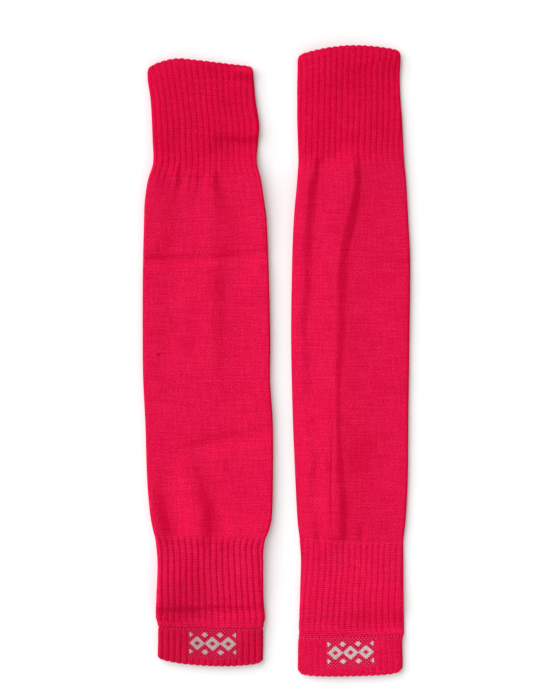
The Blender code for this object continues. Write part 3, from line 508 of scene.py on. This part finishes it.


def acrylic_knit(name, shade, ground, light, course, slant, rib_fuzz_and_shade, fuzz, stitch_depth):
    """Soft spun acrylic, knitted: matt, with a fuzz that catches a little light at its edges. Each
    stitch is two slanting strands in a V, painted pale on its back and painted in shade in the gaps
    between. On ribs the fuzz stands on their backs, so these look paler, and the channels between are
    painted purer and darker, as shade. Slopes that face away from the light are painted purer, as shade."""
    material = bpy.data.materials.new(name)
    material.use_nodes = True
    tree = material.node_tree
    shader = tree.nodes["Principled BSDF"]
    shader.inputs["Roughness"].default_value = 0.9
    shader.inputs["IOR"].default_value = 1.5
    shader.inputs["Specular IOR Level"].default_value = 0.02
    shader.inputs["Sheen Weight"].default_value = 0.03
    shader.inputs["Sheen Roughness"].default_value = 0.5
    shader.inputs["Sheen Tint"].default_value = linear("FF5A80")

    # One stitch is a wale wide and a course high; the map is in millimetres. Each line below names a
    # value, how it is worked out, and from what
    knitting = add(tree, "ShaderNodeUVMap", {"uv_map": "Stitches"}, {})
    counted = add(
        tree, "ShaderNodeMapping", {}, {0: knitting.outputs[0], "Scale": (1 / WALE, 1 / course, 1)}
    )
    count = add(tree, "ShaderNodeSeparateXYZ", {}, {0: counted.outputs[0]})
    made = {"wales": count.outputs[0], "courses": count.outputs[1]}
    for result, operation, *terms in (
        ("to middle", "PINGPONG", "wales", 0.5),
        ("strand turn", "MULTIPLY", "to middle", 2 * np.pi),
        ("strand", "SINE", "strand turn"),
        ("slanted", "MULTIPLY_ADD", "to middle", -slant, "courses"),
        ("course turn", "MULTIPLY", "slanted", np.pi),
        ("course wave", "SINE", "course turn"),
        ("course back", "ABSOLUTE", "course wave"),
        ("lens", "MULTIPLY", "strand", "course back"),
        ("stitch", "POWER", "lens", 0.6),
        # The ribs' backs are painted paler and their channels darker, as shade
        ("rib turn", "MULTIPLY", "wales", np.pi / 4),
        ("rib wave", "SINE", "rib turn"),
        ("rib back", "ABSOLUTE", "rib wave"),
        ("rib top", "POWER", "rib back", 0.4),
        ("stitch tone", "MULTIPLY_ADD", "stitch", 0.45, 0.01 - fuzz / 2 - 0.82 * rib_fuzz_and_shade),
        ("tone", "MULTIPLY_ADD", "rib top", rib_fuzz_and_shade, "stitch tone"),
    ):
        values = {place: made[term] if isinstance(term, str) else term for place, term in enumerate(terms)}
        made[result] = add(tree, "ShaderNodeMath", {"operation": operation}, values).outputs[0]

    # Yarn is never even: streaks along the courses, fainter ones along the wales, specks of fuzz
    # and soft clouds of dye, each with its swells across and down in mm and its share of the tone
    tone = made["tone"]
    for across, down, amount in ((16, 1.9, 0.24), (1.5, 14, 0.22), (0.9, 0.8, fuzz), (30, 30, 0.12)):
        place = add(
            tree, "ShaderNodeMapping", {}, {0: knitting.outputs[0], "Scale": (1 / across, 1 / down, 1)}
        )
        swell = add(
            tree, "ShaderNodeTexNoise", {}, {"Vector": place.outputs[0], "Scale": 1.0, "Detail": 2.0}
        )
        tone = add(
            tree, "ShaderNodeMath", {"operation": "MULTIPLY_ADD"},
            {0: swell.outputs["Fac"], 1: amount, 2: tone},
        ).outputs[0]
    colours = add(tree, "ShaderNodeValToRGB", {}, {0: tone})
    stops = colours.color_ramp.elements
    stops[0].position, stops[0].color = 0.2, linear(shade)
    stops[1].position, stops[1].color = 0.95, linear(light)
    middle = stops.new(0.6)
    middle.color = linear(ground)

    fuzz_height = add(
        tree, "ShaderNodeMath", {"operation": "MULTIPLY_ADD"}, {0: tone, 1: 0.6, 2: made["stitch"]}
    )
    bump = add(
        tree, "ShaderNodeBump", {},
        {"Height": fuzz_height.outputs[0], "Distance": stitch_depth * MM, "Strength": 1.0},
    )
    tree.links.new(bump.outputs["Normal"], shader.inputs["Normal"])

    # Slopes that face away from the light, to the lower right, are painted a purer red, as shade
    surface = add(tree, "ShaderNodeNewGeometry", {}, {})
    facing = add(
        tree, "ShaderNodeVectorMath", {"operation": "DOT_PRODUCT"}, {0: surface.outputs["Normal"], 1: AWAY_FROM_LIGHT}
    )
    painted_shade_share = add(
        tree, "ShaderNodeMapRange", {}, {0: facing.outputs["Value"], 1: 0.04, 2: 0.3, 3: 0.0, 4: 1.0}
    )
    yarn = add(
        tree, "ShaderNodeMix", {"data_type": "RGBA", "blend_type": "MULTIPLY"},
        {0: painted_shade_share.outputs[0], 6: colours.outputs["Color"], 7: PAINTED_SHADE_TINT},
    ).outputs[2]
    tree.links.new(yarn, shader.inputs["Base Color"])
    return material, tree, shader, (made, tone, yarn)


PAIRED_COURSE = 1.43  # the elastic goes in every second course, which pairs them
MAP_PER_SEED = 40.0  # keeps the two tubes on different stretches of the knitting's map
MAP_START = 400.0  # a place on the map a little before the left tube's mouth
MAP_REPEAT = 720.0  # the right tube lies so much further down the map than the left one
CUFF_END = 118.0  # where a cuff ends on it, from that place
EASE_REACH = 20.0
PAINTED_LIGHT_AT_END = (1.06, 1.45, 1.15, 1.0)  # what a cuff's colour is multiplied by at its lower end: painted light that evens out the ribs' shade

cuff_knit, cuff_tree, cuff_shader, cuff_nodes = acrylic_knit(
    "rib_knit_acrylic", "B8002A", "E30940", "F1295C", PAIRED_COURSE,
    slant=0.5, rib_fuzz_and_shade=0.12, fuzz=1.0, stitch_depth=0.28,
)
# It is painted paler towards its lower end, as light that evens the ribs' shade into the plain leg's tone
along = add(
    cuff_tree, "ShaderNodeMath", {"operation": "MULTIPLY_ADD"},
    {0: cuff_nodes[0]["courses"], 1: PAIRED_COURSE, 2: -MAP_START},
)
in_tube = add(cuff_tree, "ShaderNodeMath", {"operation": "MODULO"}, {0: along.outputs[0], 1: MAP_REPEAT})
near_end = add(
    cuff_tree, "ShaderNodeMapRange", {"interpolation_type": "SMOOTHSTEP"},
    {0: in_tube.outputs[0], 1: CUFF_END - EASE_REACH, 2: CUFF_END, 3: 0.0, 4: 1.0},
)
cuff_colour = add(
    cuff_tree, "ShaderNodeMix", {"data_type": "RGBA", "blend_type": "MULTIPLY"},
    {0: near_end.outputs[0], 6: cuff_nodes[-1], 7: PAINTED_LIGHT_AT_END},
)
cuff_tree.links.new(cuff_colour.outputs[2], cuff_shader.inputs["Base Color"])
for warmer in warmers:
    cuff = knit_tube(
        warmer, "top_cuff", "mouth", "cuff_seam", RIB_WALL, RIBBED_STEPS,
        pitch=1.0, relief=top_cuff_relief, rib_height=0.37,
    )
    cuff.data.materials.append(cuff_knit)
    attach(cuff, "root")
    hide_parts(f"{warmer.name}_top_cuff")


# Legs
# The plain knit between the cuffs: a fine jersey tube, the widest stretch, on which the folds of
# the laid cloth show. It is knitted straight on from the cuff, so it gathers a little at both ends.

LEG_WALL = 1.4
LEG_STEPS = (132, 64)  # points across the upper and the lower cloth
left.edges["ankle_seam"] = [Edge(-1, 327.5), Edge(0, 329.0), Edge(1, 330.0)]
right.edges["ankle_seam"] = [Edge(-1, 340.0), Edge(0, 342.0), Edge(1, 342.0)]
left.down_folds.extend([
    [  # first slanting trough above the ankle
        Bend(272, -26.0, 0.0, 9, 12), Bend(288, -26.4, -0.9, 11, 14), Bend(302, -27.0, -1.7, 11, 14),
        Bend(316, -23.6, -2.5, 11, 12), Bend(326, -21.4, -2.2, 11, 10), Bend(331, -20.6, 0.0, 9, 8),
    ],
    [  # the leg's left side stands up beside that trough
        Bend(284, -40.0, 0.0, 5, 12), Bend(300, -39.5, 1.1, 5, 13), Bend(316, -36.0, 1.8, 6, 13),
        Bend(326, -33.6, 1.5, 6, 13), Bend(336, -32.0, 0.0, 6, 10),
    ],
    [  # ridge between the two slanting troughs
        Bend(262, -19.0, 0.0, 12, 14), Bend(276, -15.0, 0.6, 12, 13), Bend(288, -11.5, 1.2, 12, 12),
        Bend(304, -6.8, 1.9, 13, 12), Bend(320, -4.4, 2.1, 13, 10), Bend(328, -4.2, 1.9, 12, 10),
        Bend(338, -4.6, 0.3, 9, 9), Bend(346, -5.0, 0.0, 8, 8),
    ],
    [  # second slanting trough
        Bend(254, -6.0, 0.0, 12, 12), Bend(268, -2.5, -0.5, 13, 11), Bend(288, 2.6, -0.75, 12, 9),
        Bend(302, 7.0, -1.12, 13, 10), Bend(316, 9.8, -2.2, 12, 10), Bend(326, 10.4, -1.9, 11, 9),
        Bend(331, 10.8, 0.0, 9, 7),
    ],
])
left.cross_folds.extend([
    [  # crease across the upper leg
        Bend(-44, 137.0, -1.45, 6, 6), Bend(-20, 136.4, -1.35, 5.6, 6), Bend(10, 134.8, -0.8, 5.6, 5),
        Bend(30, 133.0, -1.1, 6.4, 9), Bend(46, 131.4, -1.0, 6.4, 9),
    ],
    [  # long crease that rises to the right
        Bend(-38, 277.0, 0.0, 6, 7), Bend(-28, 273.0, -0.28, 7, 8), Bend(-12, 268.4, -0.67, 8, 9),
        Bend(1, 265.2, -1.01, 8, 10), Bend(26, 259.8, -1.01, 8, 10), Bend(46, 253.4, -0.56, 7, 8),
    ],
])
right.cross_folds.extend([
    [  # step across the right of the upper leg
        Bend(6, 148.4, 0.0, 4, 3), Bend(20, 148.6, -0.39, 4, 3), Bend(34, 148.4, -0.45, 4, 3),
        Bend(44, 148.0, -0.22, 4, 3),
    ],
    [  # short curved crease by the left side fold
        Bend(-40, 144.0, 0.0, 3, 3), Bend(-36, 146.0, -0.45, 3, 3), Bend(-31, 151.0, -0.34, 3, 3),
        Bend(-28, 156.0, 0.0, 3, 3),
    ],
])


def leg_relief(phase, from_top, from_bottom):
    """The ribs' last gathers, which run out of the cuffs and die away."""
    above = 0.6 * np.exp(-from_top / 7.0)
    below = 0.25 * np.exp(-from_bottom / 3.0)
    return rib_profile(phase) * (above + below)


leg_knit, leg_tree, leg_shader, leg_nodes = acrylic_knit(
    "plain_knit_acrylic", "B8082F", "E40D47", "F33863", course=1.0,
    slant=1.2, rib_fuzz_and_shade=0.0, fuzz=0.8, stitch_depth=0.22,
)
# One small dark fleck of lint is caught in the left leg, a third of the way down by its left fold
stitches = add(leg_tree, "ShaderNodeUVMap", {"uv_map": "Stitches"}, {})
lint_place = add(
    leg_tree, "ShaderNodeMapping", {"vector_type": "TEXTURE"},
    {0: stitches.outputs[0], "Location": (7.9, 643.1, 0), "Rotation": (0, 0, -0.7), "Scale": (1.5, 0.8, 1)},
)
lint_reach = add(leg_tree, "ShaderNodeVectorMath", {"operation": "LENGTH"}, {0: lint_place.outputs[0]})
lint = add(
    leg_tree, "ShaderNodeMapRange", {"interpolation_type": "SMOOTHSTEP"},
    {0: lint_reach.outputs["Value"], 1: 1.3, 2: 0.5, 3: 0.0, 4: 0.8},
)
marked = add(
    leg_tree, "ShaderNodeMix", {"data_type": "RGBA"},
    {0: lint.outputs[0], 6: leg_nodes[-1], 7: linear("8C0428")},
)
leg_tree.links.new(marked.outputs[2], leg_shader.inputs["Base Color"])

for warmer in warmers:
    leg = knit_tube(
        warmer, "leg", "cuff_seam", "ankle_seam", LEG_WALL, LEG_STEPS,
        pitch=1.0, relief=leg_relief, rib_height=0.5,
    )
    leg.data.materials.append(leg_knit)
    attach(leg, "root")
    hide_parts(f"{warmer.name}_leg")
    length = length_between(warmer, "cuff_seam", "ankle_seam")


# Ankle cuffs
# Ribbed like the top cuffs, but narrower, and starting sharply from the plain leg. The last few
# courses are plain: a small welt that stands over the seam line of the hem band.

WELT = 2.6
left.edges["hem_seam"] = [Edge(-1, 392.0), Edge(0, 393.0), Edge(1, 393.2)]
right.edges["hem_seam"] = [Edge(-1, 409.5), Edge(0, 409.0), Edge(1, 407.5)]
left.cross_folds.extend([
    [  # crease across the ankle cuff
        Bend(-40, 382.0, -2.6, 5.2, 18), Bend(-20, 382.0, -2.7, 5.2, 18), Bend(6, 381.4, -2.2, 5.2, 16),
        Bend(24, 380.8, -1.2, 4.8, 8), Bend(40, 380.6, -1.0, 4.8, 4), Bend(46, 380.6, -1.0, 4.8, 4),
    ],
    [  # the cuff sinks towards that crease
        Bend(-40, 386.0, -0.9, 30, 50), Bend(0, 386.0, -0.9, 30, 50), Bend(20, 385.0, -0.6, 30, 30),
        Bend(40, 384.0, -0.4, 26, 12), Bend(46, 384.0, -0.4, 26, 12),
    ],
])


def ankle_relief(phase, from_top, from_bottom):
    """Ribs that start sharply and stop at the welt, which swells and then dives to the seam."""
    strength = (0.2 + 0.8 * ramp(from_top, 3.0)) * (0.15 + 0.85 * ramp(from_bottom - WELT, 3.0))
    welt = 0.55 * ramp(from_bottom, 0.9) * (1 - ramp(from_bottom - WELT, 2.0))
    return rib_profile(phase) * strength + welt


# Both ankles' grounds are painted lighter than the leg's, to offset their ribs' shade, and the left one
# darker than the right, as painted shade
for warmer, rib_height, ground in zip(warmers, (0.68, 0.34), ("EE114C", "F9124F")):
    ankle = knit_tube(
        warmer, "ankle_cuff", "ankle_seam", "hem_seam", RIB_WALL, RIBBED_STEPS,
        pitch=0.9, relief=ankle_relief, rib_height=rib_height,
    )
    ankle_knit, *_ = acrylic_knit(
        f"rib_knit_acrylic_{warmer.name}_ankle", "B8042C", ground, "F23466", PAIRED_COURSE,
        slant=0.5, rib_fuzz_and_shade=0.15, fuzz=1.0, stitch_depth=0.38,
    )
    ankle.data.materials.append(ankle_knit)
    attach(ankle, "root")
    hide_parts(f"{warmer.name}_ankle_cuff")
    length = length_between(warmer, "ankle_seam", "hem_seam")


# Hem bands
# The tube's ribbed end. On the front a smooth patch of two-colour bird's-eye knit takes the place
# of eight ribs: the ground yarn in front, with a pale grey yarn that shows as dots and as figures.

PATCH_RIBS = (4, 12)
PATCH_END = 5.0  # how far over the hem the patch stops, with short ribs below it
HEM_COURSE = 1.0
PATCH_COURSES = 21
FIGURE_COURSE = 10
FIGURE_HALF = 15.0  # wales from its middle to its ends
DIAMOND_REPEAT = 10  # wales from one diamond to the next
DOT_CELL = 1.22  # a little coarser than the real one stitch, so that the dots show
DOT_REACH = 0.1  # a dot's radius in its cell, squared
BETWEEN_DOTS = (0.86, 0.86, 0.86, 1.0)  # the two yarns lie closer there and hold less light
left.edges["hem"] = [
    Edge(-1, 412.8), Edge(-0.92, 414.9), Edge(-0.45, 418.2), Edge(0.3, 419.6), Edge(0.9, 417.9),
    Edge(1, 415.8),
]
right.edges["hem"] = [
    Edge(-1, 432.6), Edge(-0.92, 435.2), Edge(-0.5, 436.6), Edge(0.5, 435.8), Edge(0.9, 434.1),
    Edge(1, 431.4),
]


def hem_relief(phase, from_top, from_bottom):
    """Ribs beside and below the patch, and none on it. The patch is a little thicker cloth."""
    side = 0.5
    in_patch = ramp(phase - PATCH_RIBS[0] + side / 2, side)
    in_patch = in_patch * (1 - ramp(phase - PATCH_RIBS[1] + side / 2, side))
    in_patch = in_patch * ramp(from_bottom - PATCH_END + 1.0, 1.0)
    strength = 0.25 + 0.75 * ramp(from_top - 0.8, 1.5)
    groove = 0.8 * (1 - ramp(from_top, 1.0))
    return rib_profile(phase) * strength * (1 - in_patch) + 0.6 * in_patch - groove


def birds_eye_knit(name, ground, light, dot_colour, grey):
    """The ribbed band's yarn with the patch's second, grey yarn in it."""
    material, tree, shader, nodes = acrylic_knit(
        name, "B00030", ground, light, HEM_COURSE,
        slant=1.2, rib_fuzz_and_shade=0.0, fuzz=1.15, stitch_depth=0.24,
    )
    made, tone, red_yarn = nodes

    # Every stitch has a number along its course and a number down its wale. The figure is a chain of
    # three stepped diamonds with red hearts, and small lozenges in the gaps above and below it.
    # Round it the grey yarn runs behind, and peeps out pink through every other stitch. The band's
    # first course has the same dots all round.
    middle_wale = 2 * (PATCH_RIBS[0] + PATCH_RIBS[1]) - 0.5
    for result, operation, *terms in (
        ("along course", "FLOOR", "wales"),
        ("down wale", "FLOOR", "slanted"),
        ("past middle", "SUBTRACT", "along course", middle_wale),
        ("from middle", "ABSOLUTE", "past middle"),
        ("to diamond", "PINGPONG", "from middle", DIAMOND_REPEAT / 2),
        ("past row", "SUBTRACT", "down wale", FIGURE_COURSE),
        ("from row", "ABSOLUTE", "past row"),
        ("diamond steps", "ADD", "to diamond", "from row"),
        ("diamond", "COMPARE", "diamond steps", 3.5, 1.6),
        ("to gap", "SUBTRACT", DIAMOND_REPEAT / 2, "to diamond"),
        ("past gap row", "SUBTRACT", "from row", 6.0),
        ("from gap row", "ABSOLUTE", "past gap row"),
        ("gap steps", "ADD", "to gap", "from gap row"),
        ("lozenge", "LESS_THAN", "gap steps", 1.6),
        ("motifs", "MAXIMUM", "diamond", "lozenge"),
        ("in figure", "LESS_THAN", "from middle", FIGURE_HALF),
        ("figure", "MULTIPLY", "motifs", "in figure"),
        ("patch wide", "LESS_THAN", "from middle", 2.0 * (PATCH_RIBS[1] - PATCH_RIBS[0])),
        ("patch high", "LESS_THAN", "down wale", PATCH_COURSES),
        ("patch", "MULTIPLY", "patch wide", "patch high"),
        ("first course", "LESS_THAN", "down wale", 1.0),
        ("dotted ground", "MAXIMUM", "patch", "first course"),
        ("cells across", "MULTIPLY", "wales", WALE / DOT_CELL),
        ("cells down", "MULTIPLY", "courses", HEM_COURSE / DOT_CELL),
        ("cell across", "FLOOR", "cells across"),
        ("cell down", "FLOOR", "cells down"),
        ("cell", "ADD", "cell across", "cell down"),
        ("every other", "PINGPONG", "cell", 1.0),
        ("in cell across", "FRACT", "cells across"),
        ("in cell down", "FRACT", "cells down"),
        ("wide", "SUBTRACT", "in cell across", 0.5),
        ("high", "SUBTRACT", "in cell down", 0.5),
        ("wide squared", "MULTIPLY", "wide", "wide"),
        ("high squared", "MULTIPLY", "high", "high"),
        ("spread", "ADD", "wide squared", "high squared"),
        ("dot", "LESS_THAN", "spread", DOT_REACH),
        ("chosen dot", "MULTIPLY", "dot", "every other"),
        ("dots", "MULTIPLY", "chosen dot", "dotted ground"),
    ):
        values = {place: made[term] if isinstance(term, str) else term for place, term in enumerate(terms)}
        made[result] = add(tree, "ShaderNodeMath", {"operation": operation}, values).outputs[0]

    grey_yarn = add(tree, "ShaderNodeValToRGB", {}, {0: tone})
    grey_stops = grey_yarn.color_ramp.elements
    grey_stops[0].position, grey_stops[0].color = 0.15, linear("96707A")
    grey_stops[1].position, grey_stops[1].color = 0.65, linear(grey)
    between_dots = add(
        tree, "ShaderNodeMix", {"data_type": "RGBA", "blend_type": "MULTIPLY"},
        {0: made["dotted ground"], 6: red_yarn, 7: BETWEEN_DOTS},
    )
    dotted = add(
        tree, "ShaderNodeMix", {"data_type": "RGBA"},
        {0: made["dots"], 6: between_dots.outputs[2], 7: linear(dot_colour)},
    )
    yarns = add(
        tree, "ShaderNodeMix", {"data_type": "RGBA"},
        {0: made["figure"], 6: dotted.outputs[2], 7: grey_yarn.outputs["Color"]},
    )
    tree.links.new(yarns.outputs[2], shader.inputs["Base Color"])
    return material


# The ground yarn and its light fibres, the dots and the figure, of the left and of the right band. The left
# band's are painted darker than the right's, as shade
band_yarns = (("D20E3E", "E43058", "D83C66", "C0B4B0"), ("E60D45", "F43664", "EA4C76", "D6CECB"))
for warmer, rib_height, yarns in zip(warmers, (0.65, 0.25), band_yarns):
    band = knit_tube(
        warmer, "hem_band", "hem_seam", "hem", RIB_WALL, RIBBED_STEPS,
        pitch=HEM_COURSE / 2, relief=hem_relief, rib_height=rib_height,
    )
    band.data.materials.append(birds_eye_knit(f"birds_eye_knit_{warmer.name}", *yarns))
    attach(band, "root")
    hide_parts(f"{warmer.name}_hem_band")
    length = length_between(warmer, "hem_seam", "hem")


# The table, the light and the camera
# A pale matt table under a wide soft light from the upper left and a weak one from the lower right,
# and a camera straight above.

FLOOR_DROP = 0.4
bpy.ops.mesh.primitive_plane_add(size=3.0, location=(0, 0, -FLOOR_DROP * MM))
table = bpy.context.object
table.name = "table_top"
table_paint = bpy.data.materials.new("matt_white_paint")
table_paint.use_nodes = True
table_shader = table_paint.node_tree.nodes["Principled BSDF"]
table_shader.inputs["Base Color"].default_value = linear("EAEAEA")
table_shader.inputs["Roughness"].default_value = 0.9
table.data.materials.append(table_paint)

key = bpy.data.lights.new("window_light", "SUN")
key.angle, key.energy = np.radians(80), 3.8
key_holder = bpy.data.objects.new("window_light", key)
key_holder.rotation_euler = Vector((1.25, -0.95, -0.95)).to_track_quat("-Z", "Y").to_euler()
bpy.context.scene.collection.objects.link(key_holder)
fill = bpy.data.lights.new("room_light", "AREA")
fill.size, fill.energy = 1.6, 3.9
fill_holder = bpy.data.objects.new("room_light", fill)
fill_holder.location = (0.25, -0.5, 0.7)
fill_holder.rotation_euler = Vector((-0.25, 0.5, -0.7)).to_track_quat("-Z", "Y").to_euler()
bpy.context.scene.collection.objects.link(fill_holder)
world = bpy.data.worlds.new("white_room")
world.use_nodes = True
world.node_tree.nodes["Background"].inputs["Color"].default_value = (1, 1, 1, 1)
world.node_tree.nodes["Background"].inputs["Strength"].default_value = 0.475
bpy.context.scene.world = world
bpy.context.scene.view_settings.view_transform = "Standard"

MM_PER_PIXEL = 0.70
PHOTO_HEIGHT = 700
VIEW_MIDDLE = (-4.0, 7.7)  # the middle of the photograph's frame, in mm
CAMERA_HEIGHT = 1.6
lens = bpy.data.cameras.new("camera")
lens.sensor_fit = "VERTICAL"
lens.lens = lens.sensor_height * CAMERA_HEIGHT / (PHOTO_HEIGHT * MM_PER_PIXEL * MM)
camera = bpy.data.objects.new("camera", lens)
camera.location = (VIEW_MIDDLE[0] * MM, VIEW_MIDDLE[1] * MM, CAMERA_HEIGHT)
bpy.context.scene.collection.objects.link(camera)
bpy.context.scene.camera = camera
